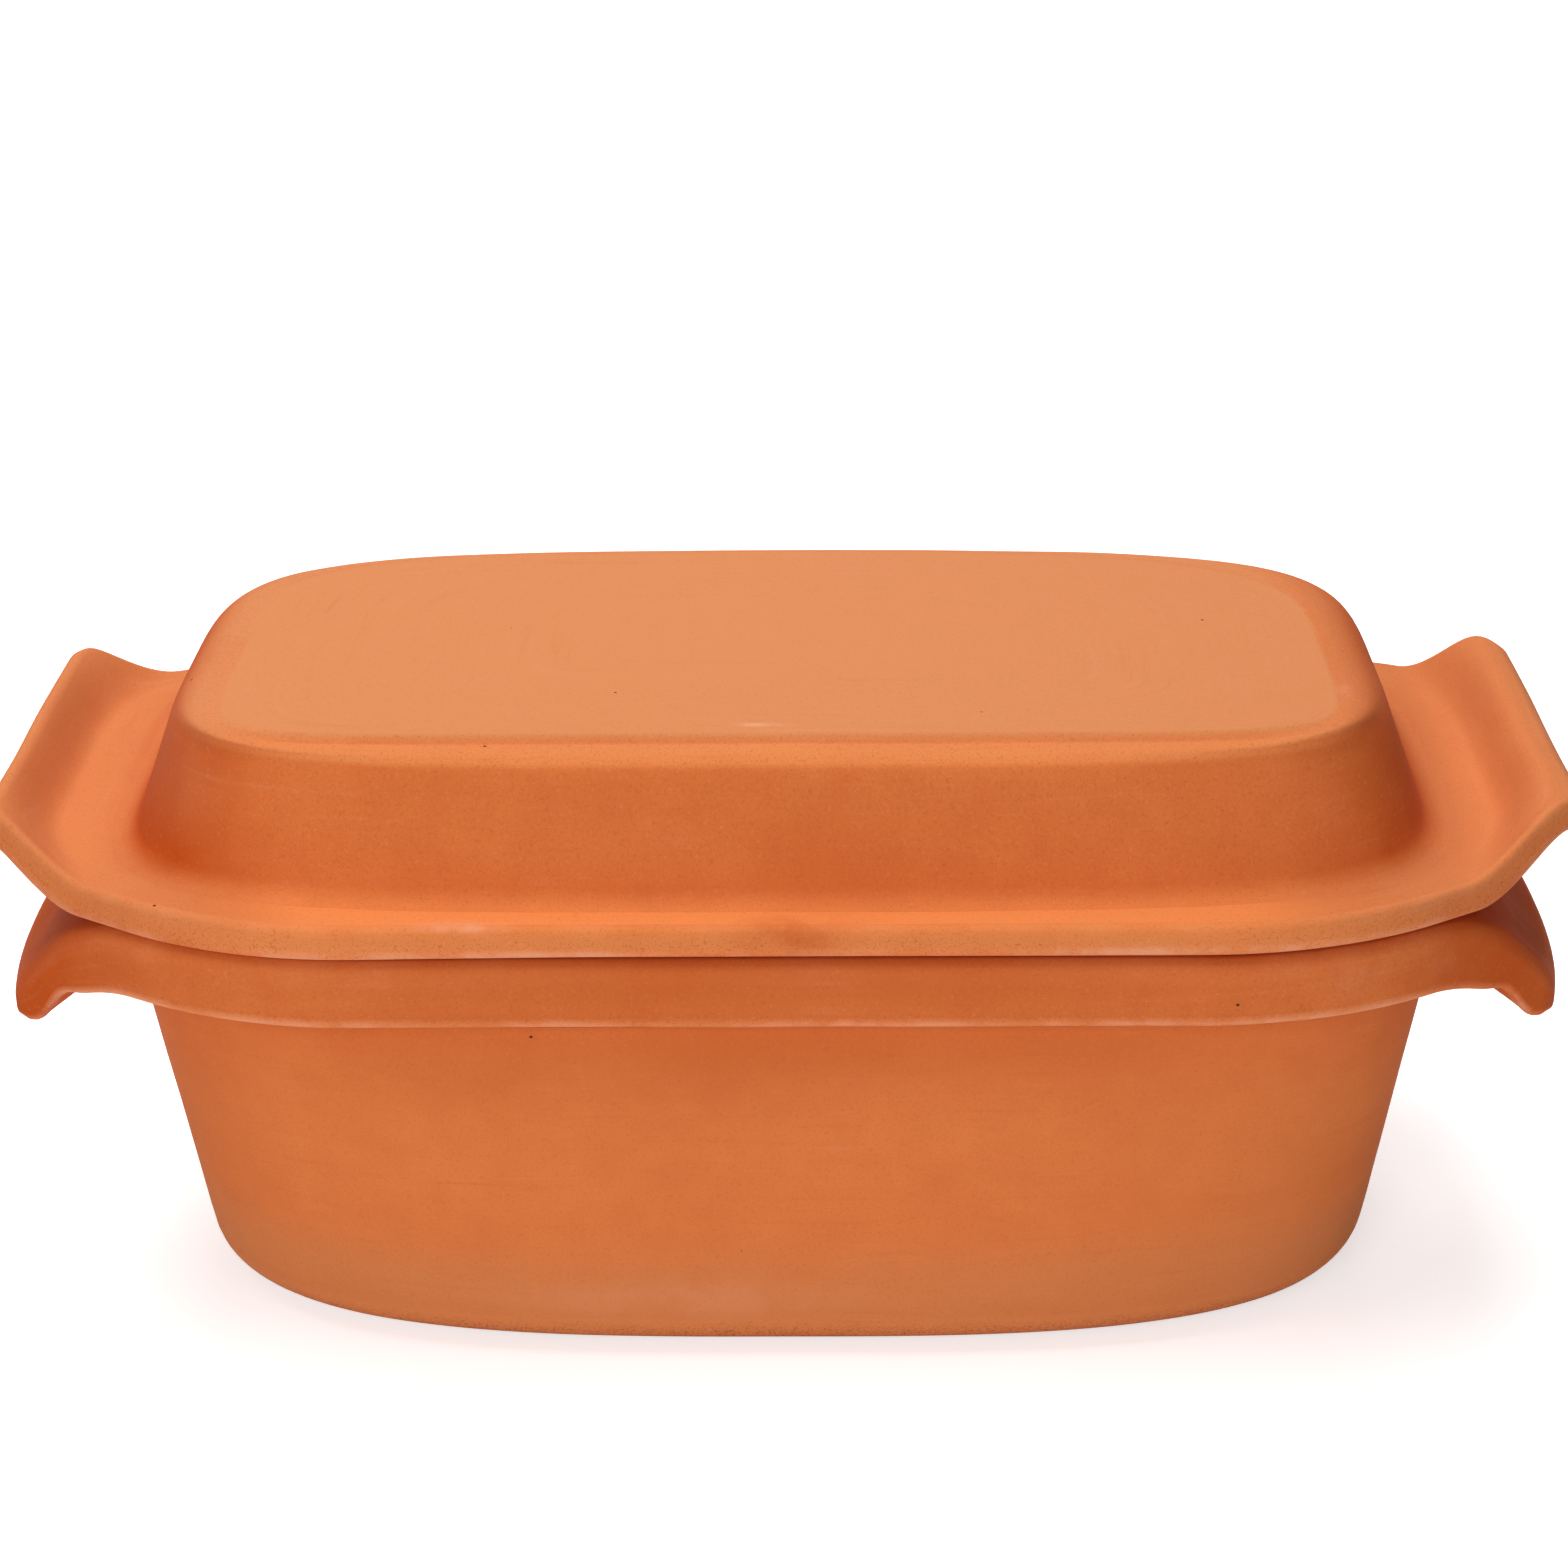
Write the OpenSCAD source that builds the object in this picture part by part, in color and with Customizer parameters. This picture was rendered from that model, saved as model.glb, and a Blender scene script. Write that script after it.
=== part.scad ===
// Oval clay roaster in two pieces: a deep pot with a flanged rim and a domed lid.
// Millimetres. X runs along the length, Y across it, Z up from the table.
// The front is -Y. Both pieces are mirror images of themselves in X and in Y.
// The lid only rests on the rim of the pot.

/* [Shared plan] */

// Which piece to draw

// Length over the lugs
overall_length = 420; // [404:1:440]

// Width of both flanges across the long sides
flange_width = 213; // [200:1:222]

// Distance in from the lug tips to where both flanges start to narrow
taper_reach = 69; // [64:1:78]

// Radius that turns the long side of a flange into the slanted run to a lug
sweep_radius = 110; // [70:5:120]

// Thickness of the fired clay in the walls
wall = 7.5; // [6:0.5:10]

// Gap left between the lid and the rim it rests on
seat_gap = 0.15; // [0.1:0.05:0.4]

/* [Pot body] */

// Height of the rim above the table
pot_height = 129; // [118:1:138]

// Distance in from the lug tips to the end wall outside, level with the rim
end_setback = 30; // [28:0.5:34]

// Overhang of the rim flange past the side wall, level with the rim
side_overhang = 7; // [6:0.5:10]

// How far each end wall leans in from the rim down to the table
end_draft = 16.5; // [12:0.5:21]

// How far each side wall leans in from the rim down to the table
side_draft = 14; // [10:0.5:18]

// Squareness of the body outline level with the rim
rim_square = 4.2; // [3.2:0.1:4.4]

// Squareness of the body outline at the table
foot_square = 3; // [2.6:0.1:3.6]

// Radius around the bottom edge outside
foot_radius = 20; // [14:1:24]

// Radius around the floor of the cavity
floor_radius = 26; // [18:1:30]

// Thickness of the floor
floor_thick = 8.5; // [7:0.5:12]

/* [Pot rim and lugs] */

// Height of the outer face of the rim along the long sides
rim_face = 19; // [15:0.5:22]

// Rounding along the top outer edge of the rim
rim_round = 5; // [3:0.5:6]

// Rounding along the inner edge of the rim
mouth_round = 2; // [1:0.5:3]

// Rounding along the lower outer edge of the rim
rim_lower_round = 4; // [2:0.5:5]

// Hollow curve where the underside of the rim meets the wall
rim_fillet = 6; // [3:0.5:8]

// How much further each pot lug reaches than the lid lug above it
lug_lead = 2.5; // [0:0.5:5]

// Distance in from the lug tips to where the pot lugs start to droop
droop_reach = 43; // [38:1:48]

// Radius of the droop at the rim surface
droop_radius = 35; // [28:1:42]

// Angle through which the pot lugs droop
droop_angle = 47.5; // [40:0.5:54]

// Thickness of the pot lugs at their tips
pot_tip_thick = 11; // [8:0.5:13]

// Distance in from the lug tips to where the pot flange starts to thin
thin_reach = 19; // [16:1:30]

// Width of the end of a pot lug before its corners are rounded
pot_lug_width = 128; // [116:1:134]

// Radius of the corners of the pot lugs
pot_lug_corner = 8; // [6:1:14]

// Bow of the ends of the pot lugs
pot_lug_bow = 8; // [3:0.5:9]

/* [Lid dome] */

// Height of the dome above the rim of the pot
dome_height = 50; // [44:1:56]

// Distance in from the lug tips to the end wall of the dome at the flange
dome_setback = 37; // [36:0.5:42]

// Width of the flange beside the dome along the long sides
side_ledge = 13.5; // [10:0.5:15]

// How far each end of the dome leans in up to the level of the top
dome_end_lean = 13; // [8:0.5:16]

// How far each side of the dome leans in up to the level of the top
dome_side_lean = 10; // [7:0.5:14]

// Squareness of the outline of the top
top_square = 4.4; // [3.4:0.1:5]

// Squareness of the dome outline at the flange
dome_square = 4.3; // [3.6:0.1:4.6]

// Radius of the shoulder between the top and the wall
shoulder_radius = 13.5; // [8:0.5:17]

// Radius of the shoulder on the inside
inner_shoulder = 10.5; // [6:0.5:14]

// Hollow radius where the dome runs into the flange
dome_fillet = 6.5; // [3:0.5:8]

// Rise of the top from its edge to its middle
crown = 1; // [0.5:0.5:3]

/* [Lid flange and lugs] */

// Thickness of the flange
lid_flange = 10; // [8:0.5:12]

// Rounding along the top edge of the flange
lid_round = 2; // [1:0.5:3]

// Rounding along the lower edge of the flange
lid_lower_round = 2.5; // [1:0.5:3]

// Distance in from the lug tips to where the lid lugs start to rise
rise_reach = 20.5; // [18:0.5:24]

// Length over which the lid lugs rise
rise_length = 16.5; // [13:0.5:19]

// Height to which the lid lugs rise above the flange
rise_height = 13.5; // [9:0.5:16]

// How much further in the rise starts along the slanted sides of a lug
rise_sweep = 12; // [6:1:16]

// How much longer the rise is along the slanted sides of a lug
rise_stretch = 10; // [4:1:14]

// Width of the band, around each corner of a lug, over which the rise changes
rise_blend = 48; // [30:2:64]

// How far outside the rise of the top surface that of the underside lies
under_delay = 2.5; // [0.5:0.5:4]

// Width of the end of a lid lug before its corners are rounded
lid_lug_width = 119; // [112:1:128]

// Radius of the corners of the lid lugs
lid_lug_corner = 10.5; // [7:0.5:16]

/* [Hidden] */

// Points in one quarter of a ring: lug end, corner, slanted run, sweep, long side
end_steps = 4;
corner_steps = 4;
slant_steps = 8;
sweep_steps = 8;
side_steps = 5;
quarter = end_steps + corner_steps + slant_steps + sweep_steps + side_steps;
ring_size = 4 * quarter;

// Rings across the top and the underside of a flange, closer together towards its edge
lug_steps = 9;
under_steps = 7;

half_length = overall_length / 2;
half_width = flange_width / 2;
taper_start = half_length - taper_reach;
pot_tip = half_length + lug_lead;
droop_start = half_length - droop_reach;
thin_start = half_length - thin_reach;
rise_start = half_length - rise_reach;
rim_a = half_length - end_setback;
rim_b = half_width - side_overhang;
foot_a = rim_a - end_draft;
foot_b = rim_b - side_draft;
dome_a = half_length - dome_setback;
dome_b = half_width - side_ledge;
top_a = dome_a - dome_end_lean;
top_b = dome_b - dome_side_lean;
lid_seat = pot_height + seat_gap;
flange_top = lid_seat + lid_flange;
dome_top = pot_height + dome_height;

function mix(a, b, f) = a + (b - a) * f;
function ease(a, b, x) = let (f = min(1, max(0, (x - a) / (b - a)))) f * f * (3 - 2 * f);

// Quarter of a flange outline as [x, y, outward x, outward y], lug end first
function flange_quarter(tip, lug_width, corner, bow) =
    let (w = lug_width / 2)
    let (turn = atan2(half_width - w, tip - taper_start))
    let (c1 = corner * tan((90 - turn) / 2))
    let (c2 = sweep_radius * tan(turn / 2))
    let (sx = tip - corner + corner * cos(90 - turn))
    let (sy = w - c1 + corner * sin(90 - turn))
    let (ex = taper_start - c2 + sweep_radius * cos(90 - turn))
    let (ey = half_width - sweep_radius + sweep_radius * sin(90 - turn))
    let (raw = concat(
        [for (i = [0:end_steps - 1]) [tip, (w - c1) * i / end_steps, 1, 0]],
        [for (i = [0:corner_steps - 1]) let (a = (90 - turn) * i / corner_steps)
            [tip - corner + corner * cos(a), w - c1 + corner * sin(a), cos(a), sin(a)]],
        [for (i = [0:slant_steps - 1]) let (f = i / slant_steps)
            [mix(sx, ex, f), mix(sy, ey, f), cos(90 - turn), sin(90 - turn)]],
        [for (i = [0:sweep_steps - 1]) let (a = 90 - turn + turn * i / sweep_steps)
            [taper_start - c2 + sweep_radius * cos(a),
             half_width - sweep_radius + sweep_radius * sin(a), cos(a), sin(a)]],
        [for (i = [0:side_steps]) [(taper_start - c2) * (1 - i / side_steps), half_width, 0, 1]]
    ))
    [for (p = raw) let (f = min(1, p[1] / w))
        [p[0] + bow * (1 - f * f) * pow(p[0] / tip, 6), p[1], p[2], p[3]]];

// Outline set in by a distance, at a height
function inset_ring(outline, d, z) = [for (p = outline) [p[0] - d * p[2], p[1] - d * p[3], z]];

// Directions that spread the points of an oval to match a flange outline
function spread(outline, a, b) = [for (p = outline) atan2(p[1] / b, p[0] / a)];

// Quarter of a squared oval
function oval(a, b, n, angles, z) =
    [for (t = angles)
        let (r = pow(pow(abs(cos(t)), n) + pow(abs(sin(t)), n), -1 / n))
        [a * r * cos(t), b * r * sin(t), z]];

function toward_edge(f) = 1 - pow(1 - f, 1.4);
function between(p, q, f) = [for (i = [0:len(p) - 1]) p[i] + (q[i] - p[i]) * f];
function shrink(p, f, dz) = [for (v = p) [v[0] * f, v[1] * f, v[2] + dz]];

// Whole ring from its quarter
function whole(q) = concat(
    [for (i = [0:quarter - 1]) q[i]],
    [for (i = [0:quarter - 1]) let (v = q[quarter - i]) [-v[0], v[1], v[2]]],
    [for (i = [0:quarter - 1]) let (v = q[i]) [-v[0], -v[1], v[2]]],
    [for (i = [0:quarter - 1]) let (v = q[quarter - i]) [v[0], -v[1], v[2]]]
);

// Surface through a stack of rings, closed at both ends
module skin(rings) {
    count = len(rings);
    polyhedron(
        points = [for (r = rings) for (v = r) v],
        faces = concat(
            [[for (i = [ring_size - 1:-1:0]) i]],
            [for (k = [0:count - 2]) for (i = [0:ring_size - 1])
                let (j = (i + 1) % ring_size)
                [k * ring_size + i, k * ring_size + j, (k + 1) * ring_size + j]],
            [for (k = [0:count - 2]) for (i = [0:ring_size - 1])
                let (j = (i + 1) % ring_size)
                [k * ring_size + i, (k + 1) * ring_size + j, (k + 1) * ring_size + i]],
            [[for (i = [0:ring_size - 1]) (count - 1) * ring_size + i]]
        ),
        convexity = 8
    );
}

/* Pot */

droop_run = droop_radius * sin(droop_angle);

// How far the top of the flange has dropped at a distance s past the start of the droop
function drop(s) =
    let (t = min(max(0, s), droop_run))
    droop_radius - sqrt(droop_radius * droop_radius - t * t) + max(0, s - droop_run) * tan(droop_angle);

function droop(v) = [v[0], v[1], v[2] - drop(abs(v[0]) - droop_start)];

pot_edge = flange_quarter(pot_tip - pot_lug_bow, pot_lug_width, pot_lug_corner, pot_lug_bow);
pot_angles = spread(pot_edge, rim_a, rim_b);
rim_depths = [for (p = pot_edge) mix(rim_face, pot_tip_thick, ease(thin_start, pot_tip, p[0]))];

// Body outline outside at a height, moved inwards by d
function body(z, d) =
    let (f = 1 - z / pot_height)
    oval(mix(rim_a, foot_a, f) - d, mix(rim_b, foot_b, f) - d,
         mix(rim_square, foot_square, f), pot_angles, z);

// Flange outline of the pot with its own depth below the rim at each point
function rim_ring(d, up) =
    [for (i = [0:quarter]) let (p = pot_edge[i])
        [p[0] - d * p[2], p[1] - d * p[3], pot_height - rim_depths[i] + up]];

pot_lean = atan2((end_draft + side_draft) / 2, pot_height);

// Rounded corner of radius r between the wall and a floor at height z0
function foot(z0, r, d, a) =
    let (out = r * cos(a) - r * tan((90 - pot_lean) / 2))
    let (f = 1 - z0 / pot_height)
    oval(mix(rim_a, foot_a, f) - d + out, mix(rim_b, foot_b, f) - d + out,
         mix(rim_square, foot_square, f), pot_angles, z0 + r - r * sin(a));

rim_inner = body(pot_height, wall + mouth_round);
rim_outer = inset_ring(pot_edge, rim_round, pot_height);
rim_under = rim_ring(rim_lower_round, 0);
wall_under = body(pot_height - rim_face, -rim_fillet);
wall_below = body(pot_height - rim_face - rim_fillet, 0);

// Rings of the cavity, the rim and the flange, which droops at the lugs
flange_rings = concat(
    [for (i = [0:4]) foot(floor_thick, floor_radius, wall, mix(90, pot_lean, i / 4))],
    [body(pot_height * 0.6, wall), body(pot_height - mouth_round, wall)],
    [body(pot_height - mouth_round * 0.3, wall + mouth_round * 0.3), rim_inner],
    [for (i = [1:lug_steps - 1]) between(rim_inner, rim_outer, toward_edge(i / lug_steps))],
    [for (i = [0:3]) let (a = 30 * i)
        inset_ring(pot_edge, rim_round * (1 - sin(a)), pot_height - rim_round * (1 - cos(a)))],
    [rim_ring(0, rim_lower_round), rim_ring(rim_lower_round * 0.3, rim_lower_round * 0.3), rim_under]
);
under_edge = [for (v = rim_under) droop(v)];

// Rings from the underside of the flange down the wall, which stays straight
wall_rings = concat(
    [for (f = [0.25:0.25:1]) between(under_edge, wall_under, f)],
    [for (a = [30:30:90])
        [for (i = [0:quarter])
            let (u = wall_under[i])
            let (w = wall_below[i])
            [mix(u[0], w[0], sin(a)), mix(u[1], w[1], sin(a)), mix(w[2], u[2], cos(a))]]],
    [body(pot_height * 0.55, 0)],
    [for (i = [0:5]) foot(0, foot_radius, 0, mix(pot_lean, 90, i / 5))]
);

module pot() {
    color("#cb6b3c") skin(concat(
        [for (r = flange_rings) [for (v = whole(r)) droop(v)]],
        [for (r = wall_rings) whole(r)]
    ));
}

/* Lid */

// How much of the change at a lug's corner is reached at a distance y from the centre line
function corner_share(y) =
    ease(lid_lug_width / 2 - rise_blend / 2, lid_lug_width / 2 + rise_blend / 2, abs(y));

function rise(v) =
    let (share = corner_share(v[1]))
    let (start = rise_start - rise_sweep * share)
    let (delay = under_delay * min(1, max(0, (flange_top - v[2]) / lid_flange)))
    let (f = ease(0, rise_length + rise_stretch * share, abs(v[0]) - delay - start))
    [v[0], v[1], v[2] + rise_height * f];

lid_edge = flange_quarter(half_length, lid_lug_width, lid_lug_corner, 0);
lid_angles = spread(lid_edge, dome_a, dome_b);

dome_run = (dome_end_lean + dome_side_lean) / 2;
dome_lean = atan2(dome_run, dome_top - flange_top);

// Dome outline: f is 0 at the level of the top and 1 at the flange
function dome(f, z, d) =
    oval(mix(top_a, dome_a, f) - d, mix(top_b, dome_b, f) - d,
         mix(top_square, dome_square, min(1, max(0, f))), lid_angles, z);

// Shoulder of radius r under a top at height z0, a measured from level
function shoulder(z0, r, d, a) =
    let (u = -r * tan((90 - dome_lean) / 2) + r * cos(a))
    dome(u / dome_run, z0 - r + r * sin(a), d);

// Hollow curve of radius r onto a flange at height z0
function dome_foot(z0, r, d, a) =
    let (u = dome_run + r * tan((90 - dome_lean) / 2) - r * cos(a))
    dome(u / dome_run, z0 + r - r * sin(a), d);

top_edge = shoulder(dome_top - crown, shoulder_radius, 0, 90);
junction = dome_foot(flange_top, dome_fillet, 0, 90);
flange_rim = inset_ring(lid_edge, lid_round, flange_top);
seat_rim = inset_ring(lid_edge, lid_lower_round, lid_seat);
mouth = dome(1, lid_seat, wall + lid_lower_round);
ceiling = dome_top - crown - wall;

lid_rings = concat(
    [shrink(top_edge, 0.4, crown), shrink(top_edge, 0.75, crown * 0.6)],
    [for (i = [0:5]) shoulder(dome_top - crown, shoulder_radius, 0, mix(90, dome_lean, i / 5))],
    [for (i = [0:3]) dome_foot(flange_top, dome_fillet, 0, mix(dome_lean, 90, i / 3))],
    [for (i = [1:lug_steps - 1]) between(junction, flange_rim, toward_edge(i / lug_steps))],
    [flange_rim, inset_ring(lid_edge, lid_round * 0.3, flange_top - lid_round * 0.3)],
    [inset_ring(lid_edge, 0, flange_top - lid_round)],
    [inset_ring(lid_edge, 0, lid_seat + lid_lower_round)],
    [inset_ring(lid_edge, lid_lower_round * 0.3, lid_seat + lid_lower_round * 0.3), seat_rim],
    [for (i = [1:under_steps - 1]) between(mouth, seat_rim, toward_edge(1 - i / under_steps))],
    [mouth, dome(1, lid_seat + lid_lower_round, wall)],
    [for (i = [0:3]) shoulder(ceiling, inner_shoulder, wall, mix(dome_lean, 90, i / 3))]
);

module lid() {
    color("#e4915f") skin([for (r = lid_rings) [for (v = whole(r)) rise(v)]]);
}

pot();
lid();
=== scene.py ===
import math
import bpy
import bmesh
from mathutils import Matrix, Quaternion, Vector, noise


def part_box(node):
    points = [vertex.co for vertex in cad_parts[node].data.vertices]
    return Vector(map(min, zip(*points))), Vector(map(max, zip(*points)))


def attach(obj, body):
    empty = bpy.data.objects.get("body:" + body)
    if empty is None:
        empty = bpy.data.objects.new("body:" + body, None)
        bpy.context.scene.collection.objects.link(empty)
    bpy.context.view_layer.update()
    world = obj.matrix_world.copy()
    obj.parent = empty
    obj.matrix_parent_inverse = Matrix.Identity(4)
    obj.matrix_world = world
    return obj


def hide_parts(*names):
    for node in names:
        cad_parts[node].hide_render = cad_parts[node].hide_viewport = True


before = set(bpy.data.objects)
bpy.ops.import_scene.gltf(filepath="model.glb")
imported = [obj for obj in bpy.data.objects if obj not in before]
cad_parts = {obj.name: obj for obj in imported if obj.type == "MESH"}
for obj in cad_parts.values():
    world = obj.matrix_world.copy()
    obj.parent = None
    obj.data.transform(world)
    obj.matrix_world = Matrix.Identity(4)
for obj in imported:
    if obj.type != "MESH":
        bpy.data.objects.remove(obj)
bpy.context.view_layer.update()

scene = bpy.context.scene
millimetre = 0.001
quarterTurn = math.pi / 2


# Small helpers that both pieces use

def mix(a, b, f):
    return a + (b - a) * f


def ease(a, b, x):
    f = min(1.0, max(0.0, (x - a) / (b - a)))
    return f * f * (3 - 2 * f)


def ramp(most, start, full, x):
    # 0 up to the start, the most from full on
    return most * ease(start, full, x)


def steps(count, first=0.0, last=1.0):
    return [mix(first, last, i / (count - 1)) for i in range(count)]


# What pot and lid share: the plan of the flange, in millimetres
sharedPlan = {
    "halfLength": 210.0,
    "halfWidth": 106.5,
    "taperStart": 141.0,      # where the long side starts to slant towards a lug
    "sweepRadius": 110.0,
    "bowPower": 6,            # how soon a bowed lug runs out along the sides
    "wall": 7.5,
    "endPoints": 9,           # points in a quarter of a ring
    "cornerPoints": 9,
    "slantPoints": 24,
    "sweepPoints": 14,
    "sidePoints": 14,
}


def flangeOutline(tip, lugWidth, corner, bow):
    # the outline as x, y, outward x, outward y: a quarter from the lug end to the long side, then its mirror images
    plan = sharedPlan
    half, side, radius = lugWidth / 2, plan["halfWidth"], plan["sweepRadius"]
    turn = math.atan2(side - half, tip - plan["taperStart"])
    square = quarterTurn - turn
    cornerCut = corner * math.tan(square / 2)
    sweepEnd = plan["taperStart"] - radius * math.tan(turn / 2)
    start = (tip - corner + corner * math.cos(square), half - cornerCut + corner * math.sin(square))
    end = (sweepEnd + radius * math.cos(square), side - radius + radius * math.sin(square))
    points = []
    for i in range(plan["endPoints"]):
        points.append((tip, (half - cornerCut) * i / plan["endPoints"], 1, 0))
    for i in range(plan["cornerPoints"]):
        a = square * i / plan["cornerPoints"]
        points.append((tip - corner + corner * math.cos(a), half - cornerCut + corner * math.sin(a),
                       math.cos(a), math.sin(a)))
    for i in range(plan["slantPoints"]):
        f = i / plan["slantPoints"]
        points.append((mix(start[0], end[0], f), mix(start[1], end[1], f), math.cos(square), math.sin(square)))
    for i in range(plan["sweepPoints"]):
        a = square + turn * i / plan["sweepPoints"]
        points.append((sweepEnd + radius * math.cos(a), side - radius + radius * math.sin(a),
                       math.cos(a), math.sin(a)))
    for i in range(plan["sidePoints"] + 1):
        points.append((sweepEnd * (1 - i / plan["sidePoints"]), side, 0, 1))
    bowed = []
    for x, y, outX, outY in points:
        f = min(1.0, y / half)
        bowed.append((x + bow * (1 - f * f) * (x / tip) ** plan["bowPower"], y, outX, outY))
    onward, backward = bowed[:-1], bowed[:0:-1]
    outline = []
    for signX, signY, part in ((1, 1, onward), (-1, 1, backward), (-1, -1, onward), (1, -1, backward)):
        outline += [(x * signX, y * signY, outX * signX, outY * signY) for x, y, outX, outY in part]
    return outline


def setIn(outline, distance, height):
    # the outline moved inwards, at a height: both are a number or a list for its points
    distances = distance if isinstance(distance, list) else [distance] * len(outline)
    heights = height if isinstance(height, list) else [height] * len(outline)
    return [Vector((x - d * outX, y - d * outY, z))
            for (x, y, outX, outY), d, z in zip(outline, distances, heights)]


def squaredOval(a, b, squareness, angles, height):
    # the squareness is a number, or a list for the angles
    powers = squareness if isinstance(squareness, list) else [squareness] * len(angles)
    points = []
    for t, n in zip(angles, powers):
        c, s = math.cos(t), math.sin(t)
        r = (abs(c) ** n + abs(s) ** n) ** (-1 / n)
        points.append(Vector((a * r * c, b * r * s, height)))
    return points


def between(first, second, f):
    return [p.lerp(q, f) for p, q in zip(first, second)]


def shrunk(ring, f, lift=0.0):
    return [Vector((p.x * f, p.y * f, p.z + lift)) for p in ring]


def addRing(stack, ring, shift=None, hand=1.0, **marksAndPaintedLight):
    # a loop of the piece and what is set on it there, wear, sand, dust, paleness and a tone that is painted light and
    # shade: a number, or a function of the point
    stack.append(([shift(p) for p in ring] if shift else ring, dict(marksAndPaintedLight, hand=hand)))


# the tone layer is painted light and shade, set by region: brighter where light falls, deeper where shade falls
marksAndPaintedLightLayers = {"wear": "edgeWear", "pale": "paleFace", "tone": "paintedLightAndShade", "sandy": "sandGrain",
              "dust": "footDust", "hand": "handwork"}


def skinRings(name, stack, body, hands, material):
    # the first loop is a circle of any size, pulled into shape, and every other loop is extruded from the last
    bm = bmesh.new()
    bmesh.ops.create_circle(bm, cap_ends=False, segments=len(stack[0][0]), radius=0.1)
    place = bm.verts.layers.int.new("place")
    layers = {key: bm.verts.layers.float.new(label) for key, label in marksAndPaintedLightLayers.items()}
    lap = bm.verts.layers.float.new("lap")
    bm.verts.ensure_lookup_table()
    for i, vert in enumerate(bm.verts):
        vert[place] = i
    loopVerts, loopEdges, firstEdges = list(bm.verts), list(bm.edges), list(bm.edges)
    travelled, last = 0.0, stack[0][0]
    for number, (ring, marksAndPaintedLight) in enumerate(stack):
        if number:
            made = bmesh.ops.extrude_edge_only(bm, edges=loopEdges)["geom"]
            loopVerts = [g for g in made if isinstance(g, bmesh.types.BMVert)]
            known = set(loopVerts)
            loopEdges = [g for g in made if isinstance(g, bmesh.types.BMEdge) and all(v in known for v in g.verts)]
        travelled += sum((p - q).length for p, q in zip(ring, last)) / len(ring)
        last = ring
        for vert in loopVerts:
            vert.co = ring[vert[place]] * millimetre
            vert[lap] = travelled * millimetre
            for key, layer in layers.items():
                value = marksAndPaintedLight.get(key, 0.0)
                vert[layer] = value(ring[vert[place]]) if callable(value) else value
    caps = []
    for edges in (firstEdges, loopEdges):
        caps += bmesh.ops.contextual_create(bm, geom=edges)["faces"]
    bmesh.ops.poke(bm, faces=caps)
    bmesh.ops.recalc_face_normals(bm, faces=bm.faces)

    # the slow waves that the mould and the hand leave in the clay
    bm.normal_update()
    apart = Vector((7, 3, 5))                # so that the quick waves don't start where the slow ones do
    for vert in bm.verts:
        wave = noise.noise(vert.co * hands["slow"])
        wave += noise.noise(vert.co * hands["quick"] + apart) * hands["quickShare"]
        vert.co += vert.normal * wave * hands["depth"] * vert[layers["hand"]]
    low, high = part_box(body)
    for vert in bm.verts:
        for axis in range(3):
            vert.co[axis] = min(high[axis], max(low[axis], vert.co[axis]))

    mesh = bpy.data.meshes.new(name)
    bm.to_mesh(mesh)
    bm.free()
    mesh.shade_smooth()
    mesh.materials.append(material)
    piece = bpy.data.objects.new(name, mesh)
    scene.collection.objects.link(piece)
    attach(piece, "root")
    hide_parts(body)
    print(name, len(mesh.polygons), "faces")
    return piece


# Fired clay

def node(tree, kind, **settings):
    made = tree.nodes.new("ShaderNode" + kind)
    for key, value in settings.items():
        setattr(made, key, value)
    return made


def feed(tree, target, socket, value):
    if isinstance(value, bpy.types.NodeSocket):
        tree.links.new(value, target.inputs[socket])
    else:
        target.inputs[socket].default_value = value


def sums(tree, operation, first, second=0.0, third=0.0):
    made = node(tree, "Math", operation=operation)
    for socket, value in enumerate((first, second, third)):
        feed(tree, made, socket, value)
    return made.outputs[0]


def times(tree, first, second):
    return sums(tree, "MULTIPLY", first, second)


def span(tree, value, low, high, bottom=0.0, top=1.0):
    made = node(tree, "MapRange", interpolation_type="SMOOTHSTEP")
    for socket, number in enumerate((value, low, high, bottom, top)):
        feed(tree, made, socket, number)
    return made.outputs[0]


def blend(tree, factor, first, second, kind="MIX"):
    made = node(tree, "Mix", data_type="RGBA", blend_type=kind)
    for socket, value in ((0, factor), (6, first), (7, second)):
        feed(tree, made, socket, (*value, 1) if isinstance(value, tuple) else value)
    return made.outputs[2]


def grain(tree, place, scale, detail=2.0, roughness=0.5):
    made = node(tree, "TexNoise")
    for socket, value in (("Vector", place), ("Scale", scale), ("Detail", detail), ("Roughness", roughness)):
        feed(tree, made, socket, value)
    return made.outputs[0]


def carried(tree, label):
    return node(tree, "Attribute", attribute_name=label).outputs["Fac"]


def smudgeMask(tree, place, centre, reach):
    # full near the centre of a patch, 0 from its reach on, which is given along x, y and z
    away = node(tree, "VectorMath", operation="SUBTRACT")
    feed(tree, away, 0, place)
    feed(tree, away, 1, centre)
    scaled = node(tree, "VectorMath", operation="DIVIDE")
    feed(tree, scaled, 0, away.outputs[0])
    feed(tree, scaled, 1, reach)
    length = node(tree, "VectorMath", operation="LENGTH")
    feed(tree, length, 0, scaled.outputs[0])
    return span(tree, length.outputs["Value"], 1.0, 0.1)


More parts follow.
